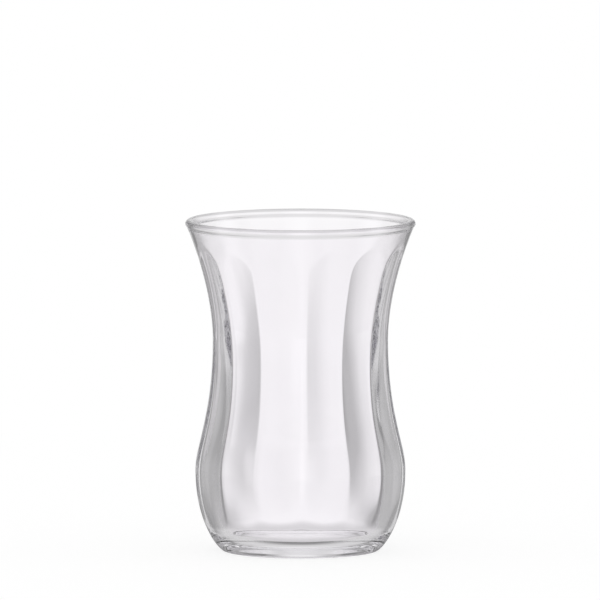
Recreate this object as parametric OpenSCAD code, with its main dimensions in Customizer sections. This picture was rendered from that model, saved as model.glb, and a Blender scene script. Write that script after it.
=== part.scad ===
// Tea glass in one piece of clear glass: a round, waisted outside with shallow panels inside.
// Lengths are in millimetres. The glass stands on z = 0 with its axis on Z.

/* [Outside] */
// Height from the table to the top of the rim
glass_h = 89.4; // [80:0.1:110]
// Diameter across the rounded rim
rim_d = 62; // [58:0.1:72]
// Diameter at the waist
waist_d = 47.2; // [42:0.1:52]
// Height of the waist
waist_z = 57; // [52:0.5:62]
// Diameter at the belly
belly_d = 56.5; // [52:0.1:64]
// Height of the belly
belly_z = 21.6; // [18:0.1:26]
// Lean of the wall from the vertical, just under the rim
flare_angle = 23; // [10:0.5:30]

/* [Rim] */
// Thickness of the rounded bead that ends the wall
bead_d = 2.2; // [1.8:0.1:2.6]
// How far the bead stands out past the wall under it, on the outside
bead_overhang = 0.5; // [0.2:0.05:0.8]

/* [Foot] */
// Outer diameter of the flat ring that the glass stands on
foot_d = 41.2; // [36:0.1:46]
// Width of that ring
foot_w = 1.2; // [0.8:0.1:3]
// Height of the hollow under the floor, inside the ring
punt_h = 0.9; // [0.3:0.1:2]

/* [Wall] */
// Thickness that the wall would have at the foot, if it went down past the floor
foot_wall = 4.8; // [4:0.1:6]
// Thickness at the belly, in the middle of a panel
belly_wall = 4.4; // [3:0.1:5]
// How much narrower the bore is than the outside, each at its narrowest, on a radius
waist_wall = 3.1; // [2.4:0.1:3.6]
// Height at which the bore is narrowest
bore_waist_z = 48; // [46:0.5:58]
// Thickness just under the rim
mouth_wall = 1.7; // [1.5:0.1:2.1]
// Height of the floor inside the glass
floor_z = 3.8; // [3:0.1:6]
// Diameter of the flat middle of the floor
floor_d = 31; // [24:0.5:34]
// Height at which the rounded corner between floor and wall ends
corner_z = 7.5; // [7:0.5:10]

/* [Panels] */
// Number of panels round the inside
panel_count = 13; // [8:1:20]
// Turn of the first panel's middle from the +X axis, in degrees
panel_turn = 8.4; // [0:0.1:45]
// How much thinner the wall is along the edges between panels
panel_depth = 0.5; // [0.1:0.05:0.6]
// Height down to which the panels keep that depth
full_depth_z = 30; // [28:0.5:44]
// How much thinner the wall is along those edges at the belly
belly_depth = 0.35; // [0.1:0.05:0.5]
// Height at which the edges begin to run out into the floor's corner
run_out_z = 20; // [14:0.5:26]
// How far the tops of the panels' arches lie below the rim
arch_drop = 6.4; // [6:0.1:10]
// How far the tops of the edges between panels lie below the rim
edge_drop = 15.9; // [14:0.1:24]

/* [Hidden] */
$fn = 96;
// Steps along each curve of an outline, and facets across a panel
curve_steps = 14;
panel_facets = 4;
// How far a cut runs past the face that it opens
overrun = 2;

// Handles of the outline's curves, as shares of the heights that they run along
belly_low_share = 0.675;
belly_high_share = 0.22;
waist_low_share = 0.575;
waist_high_share = 0.265;
flare_share = 0.355;
// Handles of the rounded corner, as shares of the floor's way out and of the corner's height
corner_out_share = 0.6;
corner_up_share = 0.35;

bead_r = bead_d / 2;
bead_centre = [rim_d / 2 - bead_r, glass_h - bead_r];
wall_top = [rim_d / 2 - bead_overhang, glass_h - bead_d];
foot_r = foot_d / 2;
punt_r = foot_r - foot_w;
punt_ball_r = (punt_r * punt_r + punt_h * punt_h) / (2 * punt_h);
panel_angle = 360 / panel_count;
arch_z = glass_h - arch_drop;
edge_z = glass_h - edge_drop;

// Points of a cubic curve from a to d with handles b and c, without its first point
function curve(a, b, c, d) = [
    for (i = [1:curve_steps])
        let (t = i / curve_steps, s = 1 - t)
            a * s * s * s + b * 3 * t * s * s + c * 3 * t * t * s + d * t * t * t
];

// Side of the glass from the foot to the rim, drawn in by the wall's thickness at each of its four stations,
// with its narrowest place at a height of its own
function side(foot_in, belly_in, waist_in, mouth_in, narrowest) =
    let (
        foot = [foot_r - foot_in, 0],
        belly = [belly_d / 2 - belly_in, belly_z],
        waist = [waist_d / 2 - waist_in, narrowest],
        mouth = wall_top - [mouth_in, 0],
        low = narrowest - belly_z,
        high = mouth.y - narrowest,
        lean = [tan(flare_angle), 1] * high * flare_share
    )
    concat(
        [foot],
        curve(foot, foot + [foot_w, 0], belly - [0, belly_z * belly_low_share], belly),
        curve(belly, belly + [0, low * belly_high_share], waist - [0, low * waist_low_share], waist),
        curve(waist, waist + [0, high * waist_high_share], mouth - lean, mouth)
    );

// Radius at a height of a line of points that rises all the way
function radius_at(line, z) = lookup(z, [for (p = line) [p.y, p.x]]);

// Middles of the panels, where the wall is thickest
panel_line = side(foot_wall, belly_wall, waist_wall, mouth_wall - panel_depth, bore_waist_z);

// Smooth step from 0 to 1
function ease(t) = let (s = max(0, min(1, t))) s * s * (3 - 2 * s);

// How much thinner the wall is along an edge between panels, at a height: nothing at the floor's corner
function depth_at(z) =
    let (full = lookup(z, [[belly_z, belly_depth], [full_depth_z, panel_depth]]))
    full * ease((z - corner_z) / (run_out_z - corner_z));

// How far the round bore stands out past the panels' middles, as a share of their depth. The way t down from
// the arches' tops is 1 at the tops of the edges. In between, the arches come out as half ellipses.
function bore_share(t) =
    t < 0 ? 2 * t / (1 - 2 * t) :
    t < 1 ? t * (2 - t) :
    1 + (t - 1) * (t - 1);

// Round bore that the panels are cut into: it crosses their middles at arch_z and their edges at edge_z
function bore_r(z) = radius_at(panel_line, z) + panel_depth * bore_share((arch_z - z) / (arch_z - edge_z));

// Filled outside of the glass, up to the middle of the bead
module outside() {
    rotate_extrude()
        polygon(concat([[0, 0]], side(0, 0, 0, 0, waist_z), [bead_centre, [0, bead_centre.y]]));
}

// Rounded end of the wall, thicker than the wall and standing out on both sides of it
module bead() {
    rotate_extrude()
        translate(bead_centre)
            circle(r = bead_r);
}

// Shallow hollow under the floor, a cap of a large ball
module punt() {
    translate([0, 0, punt_h - punt_ball_r]) sphere(r = punt_ball_r);
}

// Round inside: flat floor, rounded corner, wall and collar, open at the top
module bore() {
    rotate_extrude() bore_outline();
}

module bore_outline() {
    floor_end = [floor_d / 2, floor_z];
    corner_end = [radius_at(panel_line, corner_z), corner_z];
    knee_z = floor_z + (corner_z - floor_z) * corner_up_share;
    knee = [radius_at(panel_line, knee_z), knee_z];
    out = [(knee.x - floor_end.x) * corner_out_share, 0];
    wall = [for (p = panel_line) if (p.y > corner_z) [bore_r(p.y), p.y]];
    neck = wall[len(wall) - 1];
    polygon(concat(
        [[0, floor_z], floor_end],
        curve(floor_end, floor_end + out, knee, corner_end),
        wall,
        [[neck.x, glass_h + overrun], [0, glass_h + overrun]]
    ));
}

// Panelled inside: one ring of points at each height of the panel line, closed below and above.
// A panel's middle lies on the line; towards its edges the radius grows with the square of the way out.
module panelled_inside() {
    line = concat(
        [for (p = panel_line) if (p.y > floor_z / 2) p],
        [[panel_line[len(panel_line) - 1].x, glass_h + overrun]]
    );
    ring = panel_count * panel_facets;
    rows = len(line);
    function relief(k) = let (u = abs((k % panel_facets) / panel_facets * 2 - 1)) u * u;
    points = [
        for (p = line, k = [0:ring - 1])
            let (a = panel_turn + (k / panel_facets - 1 / 2) * panel_angle, r = p.x + relief(k) * depth_at(p.y))
                [r * cos(a), r * sin(a), p.y]
    ];
    sides = [
        for (i = [0:rows - 2], k = [0:ring - 1])
            let (a = i * ring + k, b = i * ring + (k + 1) % ring)
                [a, a + ring, b + ring, b]
    ];
    bottom = [for (k = [0:ring - 1]) k];
    top = [for (k = [ring - 1:-1:0]) (rows - 1) * ring + k];
    polyhedron(points, concat(sides, [bottom, top]), convexity = 4);
}

module tea_glass() {
    color([0.93, 0.94, 0.96, 0.45]) {
        difference() {
            outside();
            punt();
            intersection() {
                bore();
                panelled_inside();
            }
        }
        bead();
    }
}

tea_glass();
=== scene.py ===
import math

import bpy
import numpy as np
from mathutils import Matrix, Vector


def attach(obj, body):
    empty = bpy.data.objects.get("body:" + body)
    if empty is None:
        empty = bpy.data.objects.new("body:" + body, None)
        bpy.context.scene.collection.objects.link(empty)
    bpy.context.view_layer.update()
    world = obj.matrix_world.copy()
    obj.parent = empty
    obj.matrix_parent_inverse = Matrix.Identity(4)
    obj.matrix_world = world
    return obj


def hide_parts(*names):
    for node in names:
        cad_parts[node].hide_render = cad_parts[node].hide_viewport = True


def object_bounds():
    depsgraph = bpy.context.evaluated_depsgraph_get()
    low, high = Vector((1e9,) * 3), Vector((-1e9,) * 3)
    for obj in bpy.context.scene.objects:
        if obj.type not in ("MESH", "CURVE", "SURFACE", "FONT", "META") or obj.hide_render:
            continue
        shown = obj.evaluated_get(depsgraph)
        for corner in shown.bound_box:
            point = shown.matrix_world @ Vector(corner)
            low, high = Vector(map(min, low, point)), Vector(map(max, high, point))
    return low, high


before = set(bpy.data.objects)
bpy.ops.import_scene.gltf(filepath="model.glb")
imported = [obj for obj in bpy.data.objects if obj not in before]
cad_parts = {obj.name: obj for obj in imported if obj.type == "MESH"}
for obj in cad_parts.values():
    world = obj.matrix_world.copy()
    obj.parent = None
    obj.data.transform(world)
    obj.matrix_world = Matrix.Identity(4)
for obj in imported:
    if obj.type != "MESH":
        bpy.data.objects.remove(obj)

cad_lo, cad_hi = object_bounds()


# Glass body
# The whole of a chai glass is one gather of clear soda-lime glass, pressed with a panelled plunger and blown
# out in a turning mould, which leaves the outside round and the panels soft on the inside. The rim is melted
# to a round bead, and the glass stands on a ring round a shallow hollow. Lengths here are in millimetres.
MM = 0.001
glass_h = cad_hi.z / MM                       # 89.4, from the table to the top of the rim
rim_r = cad_hi.x / MM                         # 31, across the bead
waist_r, waist_z = 23.6, 57.0
belly_r, belly_z = 28.25, 21.6
foot_r, foot_w, punt_h = 20.6, 1.2, 0.9
flare_lean = math.tan(math.radians(23))

# The bead runs round from where the outside meets it to its underside on the inside, in degrees from
# straight out, and it stands out past the wall under it
bead_r, bead_overhang = 1.1, 0.5
bead_start, bead_end = -23, 205
bead_centre = np.array([rim_r - bead_r, glass_h - bead_r])
wall_top = np.array([rim_r - bead_overhang, glass_h - 2 * bead_r])

# Wall thickness in the middle of a panel at the foot, belly, waist and mouth, then the floor inside
foot_wall, belly_wall, waist_wall, mouth_wall = 4.8, 4.4, 3.1, 1.2
bore_waist_z = 48.0                           # the inside is narrowest well below the outside
floor_z, floor_r, corner_z = 3.8, 15.5, 7.5

panel_count = 13
panel_turn = math.radians(8.4)
panel_depth, full_depth_z = 0.5, 30.0         # how much thinner the wall is along an edge between panels
belly_depth = 0.35                            # and the same at the belly
run_out_z = 20.0                              # below this the panels run out into the floor's corner
edge_soft_share = 0.22                        # part of each half panel that rounds over into the edge
arch_z, edge_z = 83.0, 73.5                   # tops of the arches, and tops of the edges between them
arch_blend = 0.12                             # how widely the panels melt into the collar

# Handles of the outline's curves, as shares of the heights that they run along, and of the floor's corner,
# as shares of its way out and of its height
belly_low_share, belly_high_share = 0.675, 0.22
waist_low_share, waist_high_share = 0.575, 0.265
flare_share = 0.355
corner_out_share, corner_up_share = 0.6, 0.35
# Handles of the soft steps from the wall to the bead, outside and inside, as shares of the bead's radius
step_share, neck_share = 0.25, 0.3


def curve(a, b, c, d, n):
    """n points of a cubic curve from a to d, drawn towards its handles b and c, without its first point."""
    t = np.linspace(0, 1, n + 1)[1:, None]
    a, b, c, d = (np.asarray(p, float) for p in (a, b, c, d))
    return a * (1 - t) ** 3 + 3 * b * t * (1 - t) ** 2 + 3 * c * t ** 2 * (1 - t) + d * t ** 3


def side(foot_in, belly_in, waist_in, mouth_in, narrowest, n):
    """Foot, belly, waist and flare as radius and height: three cubic curves of n points each, drawn in by the
    wall's thickness at each of the four stations."""
    foot = np.array([foot_r - foot_in, 0.0])
    belly = np.array([belly_r - belly_in, belly_z])
    waist = np.array([waist_r - waist_in, narrowest])
    mouth = wall_top - [mouth_in, 0]
    low, high = narrowest - belly_z, wall_top[1] - narrowest
    lean = np.array([flare_lean, 1]) * high * flare_share
    return np.vstack([
        foot,
        curve(foot, foot + [foot_w, 0], belly - [0, belly_z * belly_low_share], belly, n),
        curve(belly, belly + [0, low * belly_high_share], waist - [0, low * waist_low_share], waist, n),
        curve(waist, waist + [0, high * waist_high_share], mouth - lean, mouth, n),
    ])


def arc(centre, radius, start, end, n):
    """n + 1 points of a circle's arc from the start angle to the end angle, in degrees."""
    a = np.radians(np.linspace(start, end, n + 1))
    return np.stack([centre[0] + radius * np.cos(a), centre[1] + radius * np.sin(a)], 1)


def soft_min(a, b, width):
    """The smaller of two values, rounded over where they differ by less than the width."""
    h = np.clip(0.5 + 0.5 * (b - a) / width, 0, 1)
    return b * (1 - h) + a * h - width * h * (1 - h)


def relief(angle):
    """How far the wall is cut back at an angle round the axis: it grows with the square of the way from a
    panel's middle to its edge, and near the edge its slope falls evenly back to nothing."""
    half = math.pi / panel_count
    u = np.abs((angle - panel_turn + half) % (2 * half) - half) / half
    s = edge_soft_share
    edge = (1 - s) ** 2 + (1 - s) * (s - (1 - u) ** 2 / s)
    return np.where(u < 1 - s, u ** 2, edge)


panel_line = side(foot_wall, belly_wall, waist_wall, mouth_wall, bore_waist_z, 400)


def panel_r(z):
    """Inside radius in the middle of a panel at a height."""
    return np.interp(z, panel_line[:, 1], panel_line[:, 0])


def depth_at(z):
    """How much thinner the wall is along an edge between panels at a height. It runs out in a smooth step
    down to the floor's corner, where it is nothing."""
    rise = np.clip((z - corner_z) / (run_out_z - corner_z), 0, 1)
    full = np.interp(z, [belly_z, full_depth_z], [belly_depth, panel_depth])
    return full * rise ** 2 * (3 - 2 * rise)


def bore_r(z):
    """Round bore that the panels melt into: it meets their middles at arch_z and their edges at edge_z.
    Between the two its way out past the middles is a part of a parabola, which makes each arch a half
    ellipse, and above them it closes in by at most the panels' depth."""
    t = (arch_z - z) / (arch_z - edge_z)
    arch = np.where(t < 1, t * (2 - t), 1 + (t - 1) ** 2)
    collar = 2 * t / (1 + 2 * np.abs(t))
    return panel_r(z) + panel_depth * np.where(t < 0, collar, arch)


def outside_section(n):
    """Radius and height from the middle of the hollow under the floor, which is a cap of a large ball, over
    the foot ring and up the side, then round the bead to its underside on the inside."""
    punt_r = foot_r - foot_w
    ball_r = (punt_r ** 2 + punt_h ** 2) / (2 * punt_h)
    x = np.linspace(0, punt_r, n // 2)
    punt = np.stack([x, punt_h - ball_r + np.sqrt(ball_r ** 2 - x ** 2)], 1)
    bead = arc(bead_centre, bead_r, bead_start, bead_end, n)
    slope = np.array([flare_lean, 1]) * bead_r * step_share
    step = curve(wall_top, wall_top + slope, bead[0] - slope, bead[0], n // 4)
    return np.vstack([punt, side(0, 0, 0, 0, waist_z, n), step[:-1], bead])


def inside_section(n):
    """Radius and height of the plain round inside from the bead's underside down the collar and wall, round
    the corner and in over the floor to its middle."""
    under = arc(bead_centre, bead_r, bead_end, bead_end, 1)[0]
    z = np.linspace(wall_top[1] - neck_share * bead_r, corner_z, 3 * n)
    collar = np.array([bore_r(z[0]), z[0]])
    slope = np.array([flare_lean, 1]) * bead_r * neck_share
    neck = curve(under, under + slope * [1, -1], collar + slope, collar, n // 2)
    knee_z = floor_z + (corner_z - floor_z) * corner_up_share
    floor_end = np.array([floor_r, floor_z])
    knee = np.array([panel_r(knee_z), knee_z])
    corner_end = np.array([panel_r(corner_z), corner_z])
    out = np.array([(knee[0] - floor_r) * corner_out_share, 0])
    corner = curve(floor_end, floor_end + out, knee, corner_end, n)
    floor = np.stack([np.linspace(floor_r, 0, n // 2), np.full(n // 2, floor_z)], 1)
    return np.vstack([neck[:-1], np.stack([bore_r(z), z], 1), corner[-2::-1], floor])


def glass_mesh(name, rows, columns):
    """One closed surface over two parameters, the way along the section and the angle round the axis. The
    outside rows are round. An inside row takes the smaller of its own radius and the panels', rounded
    over where they cross."""
    out, inn = outside_section(rows), inside_section(rows)
    angle = np.linspace(0, 2 * math.pi, columns, endpoint=False)
    r_out = np.repeat(out[1:, :1], columns, 1)
    panels = panel_r(inn[:-1, 1])[:, None] + depth_at(inn[:-1, 1])[:, None] * relief(angle)[None]
    r_in = soft_min(np.repeat(inn[:-1, :1], columns, 1), panels, arch_blend)
    r = np.vstack([r_out, r_in])
    z = np.concatenate([out[1:, 1], inn[:-1, 1]])
    grid = np.stack([r * np.cos(angle), r * np.sin(angle), np.repeat(z[:, None], columns, 1)], 2)
    points = np.vstack([[0, 0, out[0, 1]], grid.reshape(-1, 3), [0, 0, inn[-1, 1]]]) * MM

    k = np.arange(columns)
    right = (k + 1) % columns
    row = 1 + columns * np.arange(len(z) - 1)[:, None]
    quads = np.stack([row + k, row + right, row + columns + right, row + columns + k], 2).reshape(-1, 4)
    first = np.stack([np.zeros(columns, int), 1 + right, 1 + k], 1)
    last_row = 1 + columns * (len(z) - 1)
    last = np.stack([last_row + k, last_row + right, np.full(columns, len(points) - 1)], 1)
    mesh = bpy.data.meshes.new(name)
    mesh.from_pydata(points.tolist(), [], first.tolist() + quads.tolist() + last.tolist())
    mesh.shade_smooth()
    return mesh


section_rows, panel_columns = 30, 24
glass_surface = glass_mesh("clear_tea_glass", section_rows, panel_count * panel_columns)
tea_glass = bpy.data.objects.new("clear_tea_glass", glass_surface)
bpy.context.scene.collection.objects.link(tea_glass)

# Clear glass with a faint lilac tint, which deepens where light goes a long way inside the wall
clear_glass = bpy.data.materials.new("clear_glass")
clear_glass.use_nodes = True
nodes, links = clear_glass.node_tree.nodes, clear_glass.node_tree.links
shader = nodes["Principled BSDF"]
shader.inputs["Transmission Weight"].default_value = 1
shader.inputs["Roughness"].default_value = 0.0
shader.inputs["IOR"].default_value = 1.52
body_tint = nodes.new("ShaderNodeVolumeAbsorption")
body_tint.inputs["Color"].default_value = (0.80, 0.79, 0.83, 1)
body_tint.inputs["Density"].default_value = 4
links.new(body_tint.outputs[0], nodes["Material Output"].inputs["Volume"])
# Waves about 9 mm wide and 30 mm high, drawn out along the glass as it was blown: they lift the skin by up
# to a twentieth of a millimetre, and the cords are the same waves in the glass's tint
place = nodes.new("ShaderNodeTexCoord")
stretch = nodes.new("ShaderNodeMapping")
stretch.inputs["Scale"].default_value = (1, 1, 0.3)
links.new(place.outputs["Object"], stretch.inputs["Vector"])
waves = nodes.new("ShaderNodeTexNoise")
waves.inputs["Scale"].default_value = 110
waves.inputs["Detail"].default_value = 1
links.new(stretch.outputs[0], waves.inputs["Vector"])
ripple = nodes.new("ShaderNodeBump")
ripple.inputs["Strength"].default_value = 1
ripple.inputs["Distance"].default_value = 0.00005
links.new(waves.outputs[0], ripple.inputs["Height"])
links.new(ripple.outputs[0], shader.inputs["Normal"])
cords = nodes.new("ShaderNodeMix")
cords.data_type = "RGBA"
cords.inputs["A"].default_value = (0.999, 0.9855, 1.0, 1)
cords.inputs["B"].default_value = (0.991, 0.9775, 1.0, 1)
links.new(waves.outputs[0], cords.inputs["Factor"])
links.new(cords.outputs["Result"], shader.inputs["Base Color"])
tea_glass.data.materials.append(clear_glass)
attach(tea_glass, "root")
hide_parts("tea_glass")


# Floor
# A round table under the glass, painted a matt pale grey. It is lit so that it looks white to the camera,
# with only the glass's own soft shadow on it. What is seen through the glass is the studio behind it.
table_r = 0.3
bpy.ops.mesh.primitive_circle_add(vertices=128, radius=table_r, fill_type="NGON", location=(0, 0, 0))
table = bpy.context.object
table.name = "white_table"
white = bpy.data.materials.new("white_table")
white.use_nodes = True
nodes, links = white.node_tree.nodes, white.node_tree.links
paint = nodes["Principled BSDF"]
paint.inputs["Base Color"].default_value = (0.55, 0.55, 0.55, 1)
paint.inputs["Roughness"].default_value = 0.6
glow = nodes.new("ShaderNodeEmission")
glow.inputs["Strength"].default_value = 0.85
shade = nodes.new("ShaderNodeBsdfDiffuse")
shade.inputs["Color"].default_value = (0.22, 0.22, 0.22, 1)
bright = nodes.new("ShaderNodeAddShader")
links.new(glow.outputs[0], bright.inputs[0])
links.new(shade.outputs[0], bright.inputs[1])
seen = nodes.new("ShaderNodeLightPath")
straight = nodes.new("ShaderNodeMixShader")
links.new(seen.outputs["Is Camera Ray"], straight.inputs[0])
links.new(paint.outputs[0], straight.inputs[1])
links.new(bright.outputs[0], straight.inputs[2])
clear = nodes.new("ShaderNodeBsdfTransparent")
through = nodes.new("ShaderNodeMixShader")
links.new(seen.outputs["Is Transmission Ray"], through.inputs[0])
links.new(straight.outputs[0], through.inputs[1])
links.new(clear.outputs[0], through.inputs[2])
links.new(through.outputs[0], nodes["Material Output"].inputs["Surface"])
table.data.materials.append(white)


# Studio
# Four tall white screens stand round the table at right angles, one behind the glass for each main view,
# with a dark flag on each side of them and grey wall between: clear glass is drawn by the grey that its
# edges bend into sight. The camera itself sees plain white all round.
world = bpy.data.worlds.new("studio")
bpy.context.scene.world = world
world.use_nodes = True
nodes, links = world.node_tree.nodes, world.node_tree.links
nodes.clear()


def calc(kind, *values):
    """A Math node of that kind on the values, each a number or another node's output."""
    node = nodes.new("ShaderNodeMath")
    node.operation = kind
    for slot, value in zip(node.inputs, values):
        if isinstance(value, (int, float)):
            slot.default_value = value
        else:
            links.new(value, slot)
    return node.outputs[0]


def ramp(value, start, end, low, high):
    """A smooth step from low to high as the value goes from start to end."""
    node = nodes.new("ShaderNodeMapRange")
    node.interpolation_type = "SMOOTHSTEP"
    links.new(value, node.inputs["Value"])
    for slot, number in zip(("From Min", "From Max", "To Min", "To Max"), (start, end, low, high)):
        node.inputs[slot].default_value = number
    return node.outputs[0]


# Brightness by degrees from a screen's middle, which is at 0, to the right of it for a camera in front:
# the white screen falls off to the dark flags at 16 to 26, and the grey wall's middle is at 45
stations = [
    (-45, 0.48), (-38, 0.39), (-31, 0.35), (-26, 0.26), (-20, 0.27), (-18, 0.41), (-16, 0.56), (-12, 0.65),
    (-10, 0.73), (-8, 0.84), (-6, 0.93), (-3, 1.0), (3, 1.0), (5, 0.95), (6.5, 0.89), (8.5, 0.8), (10, 0.67),
    (12, 0.5), (14, 0.47), (16, 0.26), (20, 0.28), (26, 0.28), (31, 0.46), (38, 0.52), (45, 0.48),
]
direction = nodes.new("ShaderNodeTexCoord")
split = nodes.new("ShaderNodeSeparateXYZ")
links.new(direction.outputs["Generated"], split.inputs[0])
turn = calc("ARCTAN2", split.outputs["X"], split.outputs["Y"])
quarter = calc("WRAP", turn, math.pi / 4, -math.pi / 4)
around = nodes.new("ShaderNodeValToRGB")
stops = around.color_ramp.elements
for degrees, brightness in stations[1:-1]:
    stops.new(degrees / 90 + 0.5).color = (brightness,) * 3 + (1,)
stops[0].color = (stations[0][1],) * 3 + (1,)
stops[len(stations) - 1].color = (stations[-1][1],) * 3 + (1,)
links.new(calc("MULTIPLY_ADD", quarter, 2 / math.pi, 0.5), around.inputs[0])

# Heights in degrees from the level of the glass: the screens and flags fade out below and above, and are a
# little dimmer towards both ends. Past them the room is pale, and dim only straight below.
height = calc("MULTIPLY", calc("ARCSINE", split.outputs["Z"]), 180 / math.pi)
below = ramp(height, -30, -13, 0, 1)
above = ramp(height, 25, 50, 1, 0)
band = calc("MULTIPLY", above, below)
ends = calc("MULTIPLY", ramp(height, -2, 10, 1.0, 0.8), ramp(height, -24, -14, 0.85, 1.0))
far = calc("MULTIPLY", ramp(height, -80, -45, 0.35, 0.9), ramp(height, 20, 60, 0.78, 0.95))
screens = calc("MULTIPLY", calc("MULTIPLY", around.outputs[0], ends), band)
level = calc("ADD", screens, calc("MULTIPLY", calc("SUBTRACT", 1.0, band), far))
seen = nodes.new("ShaderNodeLightPath")
level = calc("MAXIMUM", level, seen.outputs["Is Camera Ray"])
backdrop = nodes.new("ShaderNodeBackground")
backdrop.inputs["Color"].default_value = (1, 1, 1, 1)
links.new(level, backdrop.inputs["Strength"])
sky = nodes.new("ShaderNodeOutputWorld")
links.new(backdrop.outputs[0], sky.inputs[0])


# Camera
# A long lens well back and a little above the rim, as the photograph was taken. The rim's width fills 230.5
# of the frame's 600 pixels, and its middle lies 76.5 pixels above the frame's and 0.4 to the right of it.
camera_rise = math.radians(5.8)
camera_distance = 6.0
frame_pixels, rim_pixels = 600, 230.5
above_pixels, right_pixels = 76.5, 0.4
frame_width = 2 * rim_r * MM * frame_pixels / rim_pixels
aim_drop = above_pixels / frame_pixels * frame_width / math.cos(camera_rise)
aim_left = right_pixels / frame_pixels * frame_width
aim = Vector((-aim_left, 0, (glass_h - bead_r) * MM - aim_drop))
back = Vector((0, -math.cos(camera_rise), math.sin(camera_rise)))
lens = bpy.data.cameras.new("camera")
lens.sensor_width = 36
lens.lens = lens.sensor_width * camera_distance / frame_width
lens.clip_end = 20
camera = bpy.data.objects.new("camera", lens)
camera.location = aim + back * camera_distance
camera.rotation_mode = "QUATERNION"
camera.rotation_quaternion = (-back).to_track_quat("-Z", "Y")
bpy.context.scene.collection.objects.link(camera)
bpy.context.scene.camera = camera
bpy.context.scene.view_settings.view_transform = "Standard"

# Light turns many times inside a clear wall before it leaves it
wall_turns = 200
paths = bpy.context.scene.cycles
paths.glossy_bounces = wall_turns
paths.transmission_bounces = wall_turns
paths.max_bounces = wall_turns
